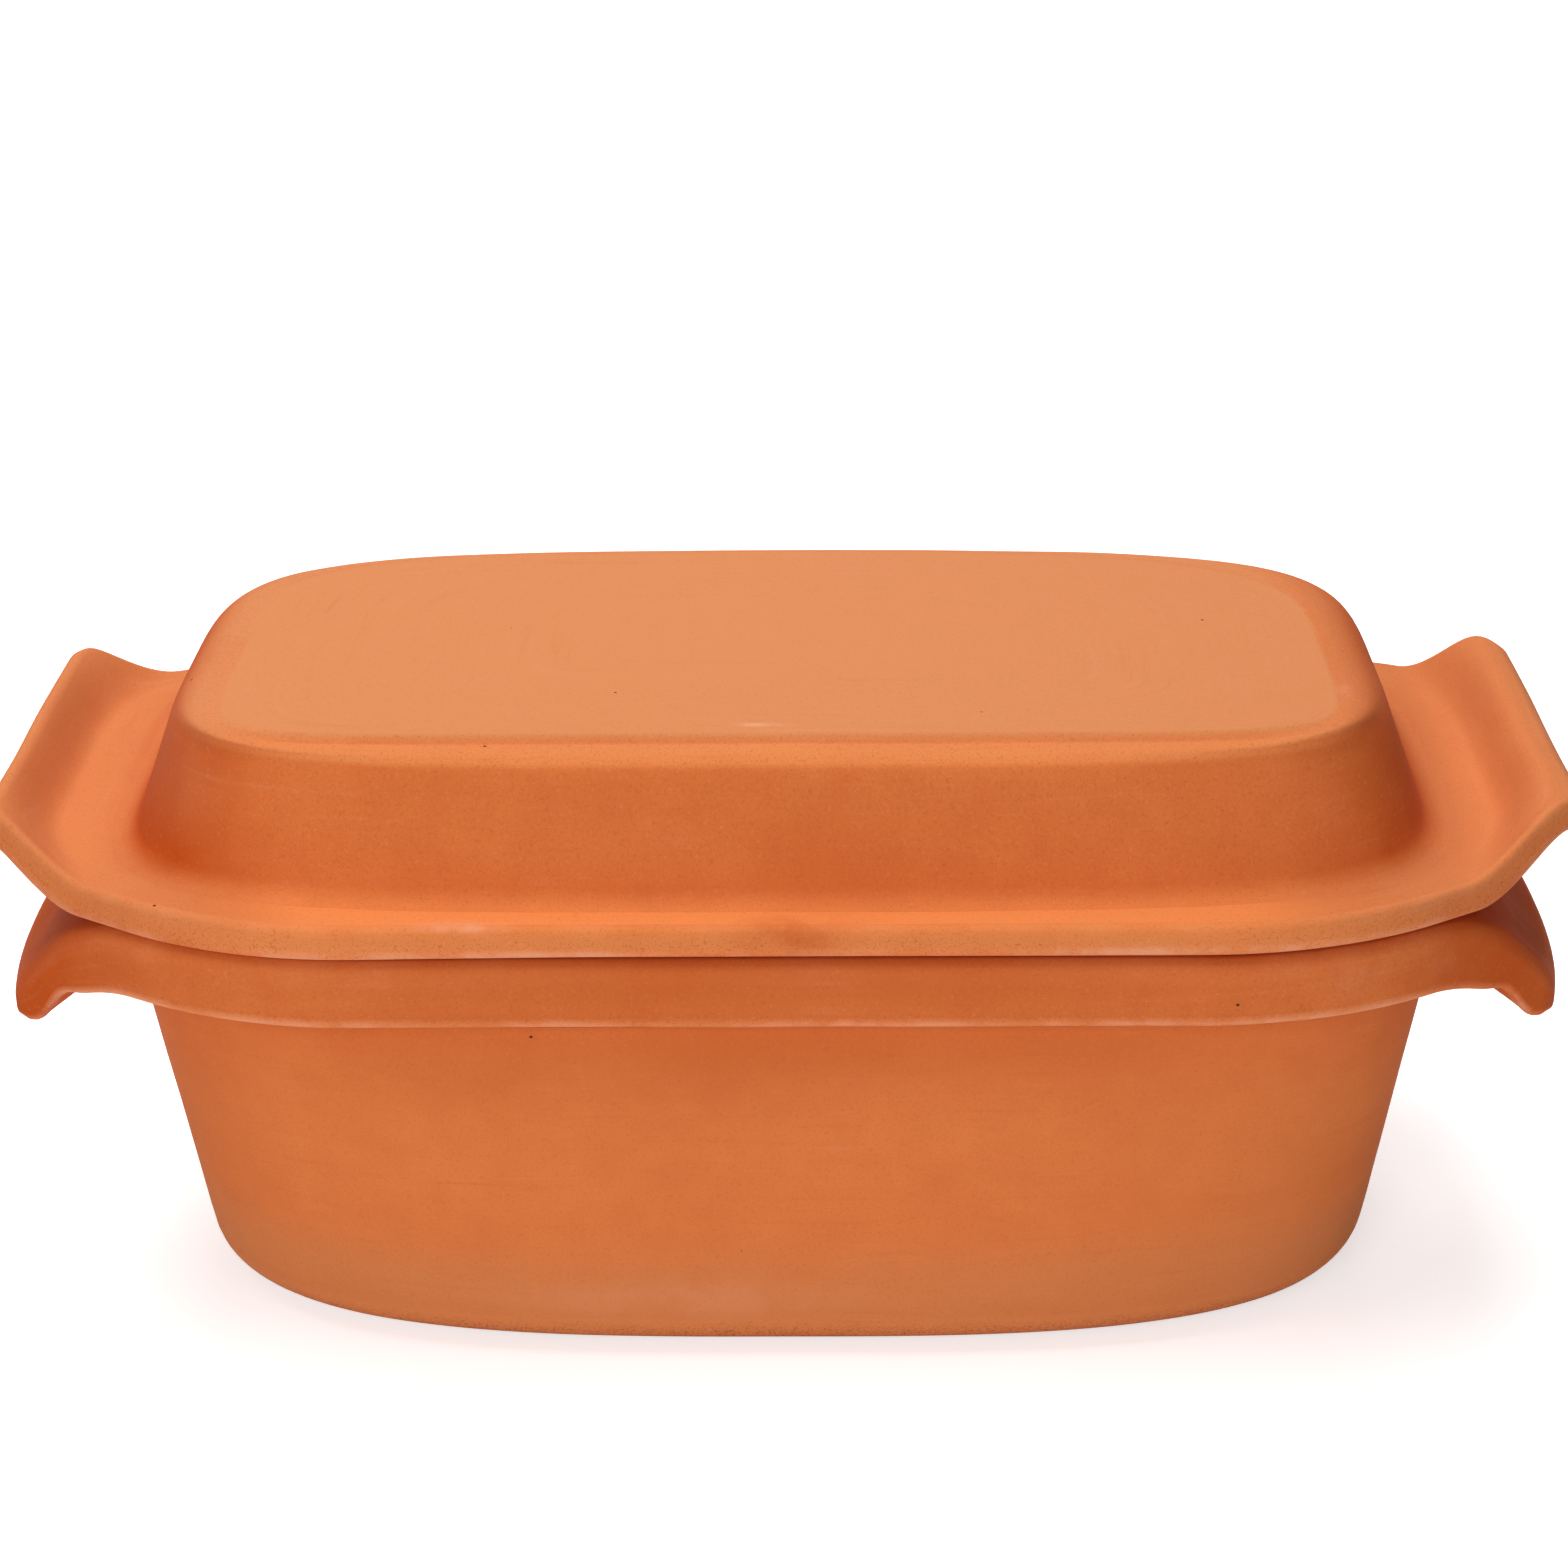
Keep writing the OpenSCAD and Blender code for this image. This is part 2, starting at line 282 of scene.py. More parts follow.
# What the two clays share: scales are per metre, reliefs in metres
firedClay = {
    "clay": (0.69, 0.172, 0.044), "warm": (0.73, 0.185, 0.049),
    "bright": (0.90, 0.275, 0.078), "deep": (0.53, 0.078, 0.007), "pale": (0.700, 0.252, 0.092),
    "dark": (0.42, 0.080, 0.020), "footShade": (0.46, 0.105, 0.028),
    "chalk": (0.90, 0.42, 0.25), "hole": (0.10, 0.022, 0.008),
    "broadScale": 6.0, "patchScale": 24.0, "cloudScale": 95.0, "coarseScale": 950.0, "fineScale": 2000.0,
    "streakLength": 22.0, "streakWidth": 420.0, "streaks": 0.16,
    "mottle": 0.45, "sand": 0.36, "sandBase": 0.14,
    "holeScale": 95.0, "holeSize": 0.05, "holeFloor": 0.4, "holeRarity": 0.90, "holeDepth": 0.0004,
    "roughness": 0.82, "roughnessSpread": 0.07, "specular": 0.10,
    "sheen": 0.015, "sheenRoughness": 0.45, "sheenTint": (1.0, 0.80, 0.70),
    "fineRelief": 0.00002, "sandRelief": 0.00007, "streakRelief": 0.00006, "cloudRelief": 0.00012,
}

# Where a noise sets in and where it is full, then the least and the most that it gives
clayRanges = {
    "warm": (0.3, 0.7), "pale": (0.2, 0.6, 0.85, 1.0), "roughness": (0.3, 0.7),
    "streaked": (0.4, 0.65, 0.2, 1.0), "darkStreak": (0.55, 0.75), "chalkStreak": (0.45, 0.25, 0.0, 0.5),
    "fineSand": (0.54, 0.70), "paleSand": (0.58, 0.74, 0.0, 0.45), "coarseSand": (0.42, 0.28),
    "brokenWear": (0.35, 0.6, 0.3, 1.0), "rubbed": (0.4, 0.6, 0.2, 0.7), "dusty": (0.35, 0.6, 0.2, 1.0),
    "smudge": (0.35, 0.6, 0.1),
}


def clayMaterial(name, look):
    material = bpy.data.materials.new(name)
    material.use_nodes = True
    tree = material.node_tree
    tree.nodes.clear()
    ranges = clayRanges
    place = node(tree, "TexCoord").outputs["Object"]
    wear, pale, tone, sandy, dust = (carried(tree, marksAndPaintedLightLayers[key])
                                     for key in ("wear", "pale", "tone", "sandy", "dust"))

    # streaks run round the piece, so one axis of their pattern is the way across its loops
    axes = node(tree, "SeparateXYZ")
    feed(tree, axes, 0, place)
    along = node(tree, "CombineXYZ")
    feed(tree, along, 0, times(tree, axes.outputs[0], look["streakLength"]))
    feed(tree, along, 1, times(tree, axes.outputs[1], look["streakLength"]))
    feed(tree, along, 2, times(tree, carried(tree, "lap"), look["streakWidth"]))
    streaks = grain(tree, along.outputs[0], 1.0, 3.0, 0.6)

    broad = grain(tree, place, look["broadScale"], 2.0)
    patches = grain(tree, place, look["patchScale"], 3.0, 0.55)
    cloud = grain(tree, place, look["cloudScale"], 4.0, 0.6)
    coarse = grain(tree, place, look["coarseScale"], 2.0, 0.6)
    fine = grain(tree, place, look["fineScale"], 1.0)

    # painted light and shade from the tone layer: brighter where light falls fully, deeper in the hollows, under
    # things and where the clay faces away; mottled all over at random, then paler where the paleness layer lies
    colour = blend(tree, span(tree, broad, *ranges["warm"]), look["clay"], look["warm"])
    mottleAndPaintedShading = sums(tree, "MULTIPLY_ADD", sums(tree, "SUBTRACT", patches, 0.5), look["mottle"], tone)
    mottleAndPaintedShading = sums(tree, "MULTIPLY_ADD", sums(tree, "SUBTRACT", cloud, 0.5), look["mottle"], mottleAndPaintedShading)
    colour = blend(tree, mottleAndPaintedShading, colour, look["bright"])
    colour = blend(tree, times(tree, mottleAndPaintedShading, -1.0), colour, look["deep"])
    colour = blend(tree, times(tree, pale, span(tree, cloud, *ranges["pale"])), colour, look["pale"])
    streaked = times(tree, span(tree, patches, *ranges["streaked"]), look["streaks"])
    for shade, reach in (("deep", "darkStreak"), ("chalk", "chalkStreak")):
        colour = blend(tree, times(tree, span(tree, streaks, *ranges[reach]), streaked), colour, look[shade])

    # grains of sand, dark and pale, thick on the faces that were cut or sponged
    amount = sums(tree, "MULTIPLY_ADD", sandy, look["sand"], look["sandBase"])
    for grains, reach, shade in ((fine, "fineSand", "dark"), (coarse, "paleSand", "chalk"),
                                 (coarse, "coarseSand", "dark")):
        colour = blend(tree, times(tree, span(tree, grains, *ranges[reach]), amount), colour, look[shade])

    # rubbed edges, the dusty foot, pale smudges and darker blotches, which are stains and, on the pot, painted shade
    rubbed = times(tree, wear, span(tree, cloud, *ranges["brokenWear"]))
    rubbed = times(tree, rubbed, span(tree, patches, *ranges["rubbed"]))
    colour = blend(tree, rubbed, colour, look["chalk"])
    colour = blend(tree, times(tree, dust, span(tree, coarse, *ranges["dusty"])), colour, look["footShade"])
    for shade, marks in (("chalk", look["smudges"]), ("deep", look["stainsAndPaintedShade"])):
        for centre, reach, strength in marks:
            broken = span(tree, cloud, *ranges["smudge"], strength)
            colour = blend(tree, times(tree, smudgeMask(tree, place, centre, reach), broken), colour, look[shade])

    # pinholes where gas left the clay: a dent in the relief, their insides painted dark as shade
    holes = node(tree, "TexVoronoi", feature="F1")
    feed(tree, holes, "Vector", place)
    feed(tree, holes, "Scale", look["holeScale"])
    picked = node(tree, "SeparateColor")
    feed(tree, picked, 0, holes.outputs["Color"])
    hole = times(tree, span(tree, holes.outputs["Distance"], look["holeSize"], look["holeSize"] * look["holeFloor"]),
                 sums(tree, "GREATER_THAN", picked.outputs[0], look["holeRarity"]))
    colour = blend(tree, hole, colour, look["hole"])

    # relief in metres
    grainRelief = sums(tree, "MULTIPLY_ADD", sandy, look["sandRelief"], look["fineRelief"])
    relief = times(tree, sums(tree, "ADD", fine, coarse), grainRelief)
    relief = sums(tree, "MULTIPLY_ADD", streaks, look["streakRelief"], relief)
    relief = sums(tree, "MULTIPLY_ADD", cloud, look["cloudRelief"], relief)
    relief = sums(tree, "MULTIPLY_ADD", hole, -look["holeDepth"], relief)
    bump = node(tree, "Bump")
    feed(tree, bump, "Strength", 1.0)
    feed(tree, bump, "Distance", 1.0)
    feed(tree, bump, "Height", relief)

    shader = node(tree, "BsdfPrincipled")
    feed(tree, shader, "Base Color", colour)
    smoothest, roughest = (look["roughness"] + side * look["roughnessSpread"] for side in (-1, 1))
    feed(tree, shader, "Roughness", span(tree, cloud, *ranges["roughness"], smoothest, roughest))
    feed(tree, shader, "Normal", bump.outputs[0])
    feed(tree, shader, "Specular IOR Level", look["specular"])
    feed(tree, shader, "Sheen Weight", look["sheen"])
    feed(tree, shader, "Sheen Roughness", look["sheenRoughness"])
    feed(tree, shader, "Sheen Tint", (*look["sheenTint"], 1))
    output = node(tree, "OutputMaterial")
    tree.links.new(shader.outputs[0], output.inputs[0])
    return material


# The pot

potShape = {
    "height": 129.0,
    "rimA": 180.0, "rimB": 99.5, "rimSquare": 4.2,        # body outline level with the rim
    "footA": 163.5, "footB": 85.5, "footSquare": 3.0,     # and on the table
    "footRadius": 20.0, "floorRadius": 26.0, "floor": 8.5,
    "rimFace": 19.0, "rimRound": 5.0, "rimLowerRound": 4.0, "rimFillet": 6.0, "mouthRound": 2.0,
    "tip": 212.5, "lugWidth": 128.0, "lugCorner": 8.0, "lugBow": 8.0,
    "tipThick": 10.0, "thinStart": 191.0,
    "hollow": 2.6, "hollowPlace": 191.0, "hollowBlend": 5.0,
    "toe": 1.9, "toePlace": 199.0, "toeBlend": 4.0, "tipLift": 2.8, "tipLiftStart": 204.0,
    "droopStart": 167.0, "droopRadius": 35.0, "droopAngle": 47.5,
    "insideRings": (6.0, 1.0), "outsideRings": (5.0, 4.0),   # how far the wall's loops keep from its ends
    "floorRings": (0.05, 0.2, 0.35, 0.5, 0.65, 0.8, 0.92), "baseRings": (0.96, 0.85, 0.65, 0.4, 0.2, 0.05),
}
potHands = {"slow": 14.0, "quick": 45.0, "quickShare": 0.4, "depth": 0.00035}

# What is set on the pot; a tone is painted light and shade, below 0 deeper and above 0 brighter.
# Three numbers are the most there is, where it starts and where it is reached.
potMarksAndPaintedLight = {
    "rimTone": -0.2, "lugTone": (-0.6, 150, 190), "leftLugTone": (-0.4, 175, 205),
    "lidShade": (-0.8, 0.3, 0.7), "lidShadeEnd": (0, 0.5),    # where the lid's edge keeps the rim in shade
    "lowerEdgeTone": (0.6, 0, 0.6), "lowerEdgeWear": (0.8, 0, 0.7),
    "underTone": -0.5, "filletTones": (-0.4, -0.1),
    "wallTone": (0.35, 100, 70), "wallEndTone": (-0.3, 125, 172), "wallPale": (0.55, 45, 22),
    "footTone": 0.35, "footBright": (0.9, 0.2, 0.5), "footDeep": (-0.8, 0.8, 1.05), "footPale": 0.55,
    "footSand": (2.6, 0.35, 0.8), "footDust": (0.9, 0.78, 1.1), "footHand": (0.5, 1.3),
}
potLook = dict(firedClay, **{
    "smudges": [((0.176, -0.094, 0.118), (0.012, 0.012, 0.010), 0.5),
                ((0.150, -0.104, 0.121), (0.012, 0.010, 0.006), 0.35),
                ((-0.03, -0.088, 0.02), (0.07, 0.03, 0.010), 0.2)],
    # painted shade along the front: on the rim under the lid's edge, and on the wall under the flange
    "stainsAndPaintedShade": [((0.0, -0.1065, 0.125), (0.14, 0.02, 0.012), 0.3),
               ((0.03, -0.095, 0.10), (0.12, 0.02, 0.012), 0.25)],
})


def buildPot(material):
    s, marksAndPaintedLight, wall = potShape, potMarksAndPaintedLight, sharedPlan["wall"]
    top = s["height"]
    edge = flangeOutline(s["tip"] - s["lugBow"], s["lugWidth"], s["lugCorner"], s["lugBow"])
    angles = [math.atan2(y / s["rimB"], x / s["rimA"]) for x, y, _, _ in edge]
    depths = []
    for x, _, _, _ in edge:
        # thinner towards the tip, hollowed just before the toe that hangs from the lug's corner
        depth = mix(s["rimFace"], s["tipThick"], ease(s["thinStart"], s["tip"], abs(x)))
        depth -= s["hollow"] * math.exp(-((abs(x) - s["hollowPlace"]) / s["hollowBlend"]) ** 2)
        depths.append(depth + s["toe"] * math.exp(-((abs(x) - s["toePlace"]) / s["toeBlend"]) ** 2))
    droopRun = s["droopRadius"] * math.sin(math.radians(s["droopAngle"]))

    def droop(p):
        # the lugs roll over a radius and then fall straight, a little less at the very tip
        past = abs(p.x) - s["droopStart"]
        turned = min(max(0.0, past), droopRun)
        fall = s["droopRadius"] - math.sqrt(s["droopRadius"] ** 2 - turned ** 2)
        fall += max(0.0, past - droopRun) * math.tan(math.radians(s["droopAngle"]))
        fall -= s["tipLift"] * ease(s["tipLiftStart"], s["tip"], abs(p.x))
        return Vector((p.x, p.y, p.z - fall))

    def body(height, inward, outward=0.0, level=None):
        # the outline that the walls have at a height; a rounded corner draws it at a level of its own
        level = height if level is None else level
        f = 1 - height / top
        return squaredOval(mix(s["rimA"], s["footA"], f) - inward + outward,
                           mix(s["rimB"], s["footB"], f) - inward + outward,
                           mix(s["rimSquare"], s["footSquare"], 1 - level / top), angles, level)

    lean = math.atan2((s["rimA"] - s["footA"] + s["rimB"] - s["footB"]) / 2, top)

    def foot(level, radius, inward, a):
        # rounded corner between a wall and a floor
        out = radius * math.cos(a) - radius * math.tan((quarterTurn - lean) / 2)
        return body(level, inward, out, level + radius - radius * math.sin(a))

    def rim(inward, up):
        return setIn(edge, inward, [top - d + up for d in depths])

    def rimTone(more=0.0):
        # painted shade: deeper towards the lugs, which lie under those of the lid
        return lambda p: (marksAndPaintedLight["rimTone"] + ramp(*marksAndPaintedLight["lugTone"], abs(p.x)) + ramp(*marksAndPaintedLight["leftLugTone"], -p.x)
                          + more)

    # painted light and shade: the wall is painted brighter low down, where the floor lights it, and deeper at the ends
    def wallTone(height):
        return lambda p: ramp(*marksAndPaintedLight["wallTone"], height) + ramp(*marksAndPaintedLight["wallEndTone"], abs(p.x))

    rings = []
    floorEdge = foot(s["floor"], s["floorRadius"], wall, quarterTurn)
    for f in s["floorRings"]:
        addRing(rings, shrunk(floorEdge, f), hand=0.6)
    for f in steps(11):
        addRing(rings, foot(s["floor"], s["floorRadius"], wall, mix(quarterTurn, lean, f)))
    mouthStart = top - s["mouthRound"]
    low, high = s["insideRings"]
    for height in steps(9, s["floor"] + s["floorRadius"] + low, mouthStart - high):
        addRing(rings, body(height, wall), droop, hand=0.8)
    for a in steps(5, 0, quarterTurn):
        level = top - s["mouthRound"] * (1 - math.sin(a))
        addRing(rings, body(top, wall + s["mouthRound"] * (1 - math.cos(a)), 0, level),
                droop, hand=0, wear=0.5, sandy=0.3)
    inner, outer = body(top, wall + s["mouthRound"]), setIn(edge, s["rimRound"], top)
    for f in steps(12, 0.06, 0.94):
        addRing(rings, between(inner, outer, f), droop, hand=0, sandy=0.2, tone=rimTone(ramp(*marksAndPaintedLight["lidShade"], f)))
    for a in steps(9, 0, quarterTurn):
        shade = marksAndPaintedLight["lidShade"][0] * (1 - ease(*marksAndPaintedLight["lidShadeEnd"], a))
        addRing(rings, setIn(edge, s["rimRound"] * (1 - math.sin(a)), top - s["rimRound"] * (1 - math.cos(a))),
                droop, hand=0.1 + 0.4 * a, wear=0.06, sandy=0.25, tone=rimTone(shade))
    upper, lower = setIn(edge, 0, top - s["rimRound"]), rim(0, s["rimLowerRound"])
    for f in steps(5, 0.2, 0.9):
        addRing(rings, between(upper, lower, f), droop, hand=0.8, sandy=0.3, tone=rimTone())
    # painted light: the rim's face is painted brighter towards its lower edge, which is also worn
    for a in steps(6, 0, quarterTurn):
        addRing(rings, rim(s["rimLowerRound"] * (1 - math.cos(a)), s["rimLowerRound"] * (1 - math.sin(a))),
                droop, hand=0.8, wear=ramp(*marksAndPaintedLight["lowerEdgeWear"], a), sandy=0.6,
                tone=rimTone(ramp(*marksAndPaintedLight["lowerEdgeTone"], a)))
    under = [droop(p) for p in rim(s["rimLowerRound"], 0)]
    wallUnder = body(top - s["rimFace"], -s["rimFillet"])
    wallStart = top - s["rimFace"] - s["rimFillet"]
    wallBelow = body(wallStart, 0)
    # painted shade under the flange and in the fillet below it
    for f in steps(9, 0.06, 0.94):
        addRing(rings, between(under, wallUnder, f), sandy=0.4, tone=marksAndPaintedLight["underTone"])
    for a in steps(8, 0, quarterTurn):
        c, n = math.cos(a), math.sin(a)
        addRing(rings, [Vector((mix(p.x, q.x, n), mix(p.y, q.y, n), mix(q.z, p.z, c)))
                        for p, q in zip(wallUnder, wallBelow)], sandy=0.1, tone=mix(*marksAndPaintedLight["filletTones"], n))
    high, low = s["outsideRings"]
    # painted light near the foot: the wall is painted paler from 45 mm down
    for height in steps(13, wallStart - high, s["footRadius"] + low):
        addRing(rings, body(height, 0), pale=ramp(*marksAndPaintedLight["wallPale"], height), tone=wallTone(height))
    # painted light from the floor: the foot is painted brighter and paler as it turns under, and less bright again
    # underneath; the speckled dust is its own
    for a in steps(17, lean, quarterTurn):
        addRing(rings, foot(0, s["footRadius"], 0, a), hand=1 - ease(*marksAndPaintedLight["footHand"], a), pale=marksAndPaintedLight["footPale"],
                tone=marksAndPaintedLight["footTone"] + ramp(*marksAndPaintedLight["footBright"], a) + ramp(*marksAndPaintedLight["footDeep"], a),
                sandy=ramp(*marksAndPaintedLight["footSand"], a), dust=ramp(*marksAndPaintedLight["footDust"], a))
    base = foot(0, s["footRadius"], 0, quarterTurn)
    for f in s["baseRings"]:
        addRing(rings, shrunk(base, f), hand=0, sandy=0.7, dust=0.6)
    return skinRings("roasterPot", rings, "pot", potHands, material)


# The lid

lidShape = {
    "seat": 129.15, "flange": 10.0, "domeTop": 179.0, "crown": 1.0, "crownPower": 2.4,
    "topA": 158.5, "topB": 83.0, "creaseInset": 2.6,      # outline at the level of the top
    "frontSquare": 9.0, "backLeftSquare": 4.0, "backRightSquare": 3.1,   # the mould is worn at the back
    "domeA": 173.0, "domeB": 93.0, "domeSquare": 4.3,     # and at the flange
    "squareEnd": (-0.9, 0.2),                             # from the crease down: where the square corners run out
    "leftFuller": 1.010,
    "shoulderRadius": 13.5, "domeFillet": 6.5, "innerShoulder": 10.5,
    "edgeRound": 2.0, "crestRound": 4.5, "crestRoll": (203.0, 209.5), "lowerRound": 2.5,   # the lugs end in a roll
    "lugWidth": 119.0, "lugCorner": 10.5,
    # the left lug rises later than the right one; front and rear: how much further in and longer past its corners
    "leftRise": {"start": 194.5, "length": 14.0, "height": 14.6, "tilt": 0.0,
                 "front": (17.5, 14.5), "rear": (15.0, 14.5)},
    "rightRise": {"start": 189.5, "length": 12.5, "height": 14.9, "tilt": 0.5,
                  "front": (15.0, 15.0), "rear": (9.0, 10.4)},
    "riseBlend": 56.0, "crestFall": 0.6, "crestFallStart": 204.0,
    "rearLift": 1.3, "rearLiftSpan": (166, 182), "rearLiftBlend": 25,
    "underDelay": 2.5, "cornerDelay": 4.5,
    "warp": 1.1, "warpSpan": (-170, -30), "rearWarp": 0.6,   # the edge stands clear of the rim, most at the right
    "topStep": 1.8,                                       # drop at the crisp edge of the top
    "rearCrisp": 0.3, "endCrisp": 0.1, "leftCrisp": (-160, -128), "rightCrisp": (118, 150),
    "topRings": (0.04, 0.12, 0.22, 0.33, 0.44, 0.55, 0.66, 0.76, 0.85, 0.92, 0.97, 0.993),
    "creaseRings": ((0.72, 0.12), (0.45, 0.55), (0.2, 0.9), (0.0, 1.0)),   # share of the inset, share of the step
    "stepEnd": (0.68, 1.4), "shoulderStart": 1.45,
    "seatRings": (0.03, 0.08, 0.14, 0.2, 0.27, 0.34, 0.42, 0.52, 0.65, 0.8, 0.92), "seatWarpEnd": 0.6,
    "ceilingRings": (0.9, 0.75, 0.58, 0.4, 0.22, 0.05),
}
lidHands = {"slow": 13.0, "quick": 40.0, "quickShare": 0.4, "depth": 0.0003}

# What is set on the lid, written as on the pot, the tones painted light and shade; pairs are where something starts
# and where it is reached
lidMarksAndPaintedLight = {
    "domeEnds": (122, 166), "sideTone": -0.1, "endTone": -0.75, "leftEndTone": -0.35,
    "lightTone": 0.5,                                     # on the shoulder and at the foot of the dome's sides
    "shoulderEndTone": -0.35, "shoulderLight": (0.6, 0.78), "shoulderEndLight": (0.4, 1.3), "footEndTone": -0.3,
    "plateEnd": (126, 148), "plateEndTone": -0.2, "plateEndDeep": -0.35, "plateEndDeepSpan": (0.6, 0.9),
    "creasePale": 0.7, "creaseEndPale": 0.6,              # what the pale top loses at the crease
    "softPale": (0.5, 1.45), "crispPale": (0.35, 0.6, 0.9), "shoulderEndPale": 0.5,
    "endPale": (0.5, 110, 165),
    "flangeTones": (1.1, -0.1), "flangeEnds": (110, 160), "leftBand": 4.0, "rightBand": 8.0,
    "junctionTone": -0.3, "junctionEnd": (0, 0.3),
    "edgeTones": (0.6, 0.0), "edgeEnds": (120, 180), "edgePale": 0.3, "seatTone": -0.3,
}
lidLook = dict(firedClay, **{
    "smudges": [((0.1480, -0.044, 0.1725), (0.005, 0.010, 0.008), 0.75),
                ((0.1465, -0.053, 0.171), (0.004, 0.008, 0.008), 0.75),
                ((-0.158, -0.050, 0.163), (0.028, 0.05, 0.026), 0.11),
                ((-0.004, -0.0675, 0.178), (0.012, 0.0022, 0.01), 0.55),
                ((-0.062, -0.1065, 0.131), (0.05, 0.01, 0.0025), 0.6),
                ((-0.08, -0.1065, 0.139), (0.02, 0.006, 0.002), 0.5),
                ((0.10, -0.1065, 0.132), (0.06, 0.01, 0.0025), 0.4)],
    "stainsAndPaintedShade": [((0.003, -0.1065, 0.136), (0.022, 0.01, 0.012), 0.5),
               ((0.012, -0.098, 0.150), (0.03, 0.03, 0.018), 0.25)],
})


def buildLid(material):
    s, marksAndPaintedLight, wall = lidShape, lidMarksAndPaintedLight, sharedPlan["wall"]
    top, seat = s["domeTop"], s["seat"]
    flangeTop, halfLug = seat + s["flange"], s["lugWidth"] / 2
    edge = flangeOutline(sharedPlan["halfLength"], s["lugWidth"], s["lugCorner"], 0.0)
    angles = [math.atan2(y / s["domeB"], x / s["domeA"]) for x, y, _, _ in edge]

    def rise(p):
        # an S up to the crest, which starts further in and runs longer past the corners of a lug
        lug = s["leftRise"] if p.x < 0 else s["rightRise"]
        sweep, stretch = lug["rear"] if p.y > 0 else lug["front"]
        share = ease(halfLug - s["riseBlend"] / 2, halfLug + s["riseBlend"] / 2, abs(p.y))
        depth = min(1.0, max(0.0, (flangeTop - p.z) / s["flange"]))
        delay = mix(s["underDelay"], s["cornerDelay"], share) * depth
        past = abs(p.x) - delay - (lug["start"] - sweep * share)
        climb = (lug["height"] - lug["tilt"] * p.y / halfLug) * ease(0, lug["length"] + stretch * share, past)
        climb += (s["rearLift"] * ease(*s["rearLiftSpan"], abs(p.x))
                  * ease(-s["rearLiftBlend"], s["rearLiftBlend"], p.y))
        fall = s["crestFall"] * ease(s["crestFallStart"], sharedPlan["halfLength"], abs(p.x))
        return Vector((p.x, p.y, p.z + climb - fall))

    def warped(amount):
        # the rise, and under it the gap that the fired lid leaves over the rim
        def shift(p):
            lift = s["warp"] * amount * (ease(*s["warpSpan"], p.x) if p.y < 0 else s["rearWarp"])
            return rise(p) + Vector((0, 0, lift))
        return shift

    domeRun = (s["domeA"] - s["topA"] + s["domeB"] - s["topB"]) / 2
    lean = math.atan2(domeRun, top - flangeTop)
    halfTurn = math.tan((quarterTurn - lean) / 2)
    corners = [s["frontSquare"] if y < 0 else s["backLeftSquare"] if x < 0 else s["backRightSquare"]
               for x, y, _, _ in edge]

    def dome(f, height, inward=0.0):
        # square along the crease of the top, rounder from the shoulder down
        square = [mix(corner, s["domeSquare"], ease(*s["squareEnd"], f)) for corner in corners]
        ring = squaredOval(mix(s["topA"], s["domeA"], f) - inward, mix(s["topB"], s["domeB"], f) - inward,
                           square, angles, height)
        return [Vector((p.x * (s["leftFuller"] if p.x < 0 else 1.0), p.y, p.z)) for p in ring]

    def shoulder(level, radius, inward, a):
        return dome((radius * math.cos(a) - radius * halfTurn) / domeRun,
                    level - radius + radius * math.sin(a), inward)

    def domeFoot(a):
        radius = s["domeFillet"]
        return dome((domeRun + radius * halfTurn - radius * math.cos(a)) / domeRun,
                    flangeTop + radius - radius * math.sin(a))

    def crisp(p):
        # the top's edge is crisp along the front and soft at the ends and behind
        return ((1.0 if p.y < 0 else s["rearCrisp"]) * mix(s["endCrisp"], 1.0, ease(*s["leftCrisp"], p.x))
                * mix(1.0, s["endCrisp"], ease(*s["rightCrisp"], p.x)))

    def sunk(share):
        return lambda p: Vector((p.x, p.y, p.z - s["topStep"] * share * crisp(p)))

    def plateEnd(p):
        # at the right the pale top ends at its edge
        return ease(*marksAndPaintedLight["plateEnd"], p.x)

    def creasePale(share):
        return lambda p: ((1 - marksAndPaintedLight["creasePale"] * share * crisp(p))
                          * (1 - marksAndPaintedLight["creaseEndPale"] * share * plateEnd(p)))

    # painted shade on the crease at the right end of the top
    def creaseTone(share):
        return lambda p: marksAndPaintedLight["plateEndTone"] * share * plateEnd(p)

    def shoulderPale(a):
        soft, hard = ease(*marksAndPaintedLight["softPale"], a), ramp(*marksAndPaintedLight["crispPale"], a)
        return lambda p: mix(soft, hard, crisp(p)) * (1 - marksAndPaintedLight["shoulderEndPale"] * plateEnd(p))

    def domeTone(level, deepest=marksAndPaintedLight["endTone"]):
        # painted light and shade: the ends of the dome are painted deeper than its long sides, the left one most
        return lambda p: mix(level, deepest + (marksAndPaintedLight["leftEndTone"] if p.x < 0 else 0.0),
                             ease(*marksAndPaintedLight["domeEnds"], abs(p.x)))

    # painted light on the shoulder of the long sides, painted shade at the dome's ends and at the right end of the top
    def shoulderTone(a):
        plain = domeTone(mix(marksAndPaintedLight["sideTone"], marksAndPaintedLight["lightTone"], ease(*marksAndPaintedLight["shoulderLight"], a)),
                         mix(marksAndPaintedLight["endTone"], marksAndPaintedLight["shoulderEndTone"], ease(*marksAndPaintedLight["shoulderEndLight"], a)))
        return lambda p: plain(p) + marksAndPaintedLight["plateEndDeep"] * plateEnd(p) * ease(*marksAndPaintedLight["plateEndDeepSpan"], a)

    def flangeTone(f):
        # painted light and shade: bright along the sides, deep halfway up to the crests and next to the dome's ends
        near = 1 - ease(*marksAndPaintedLight["junctionEnd"], f)

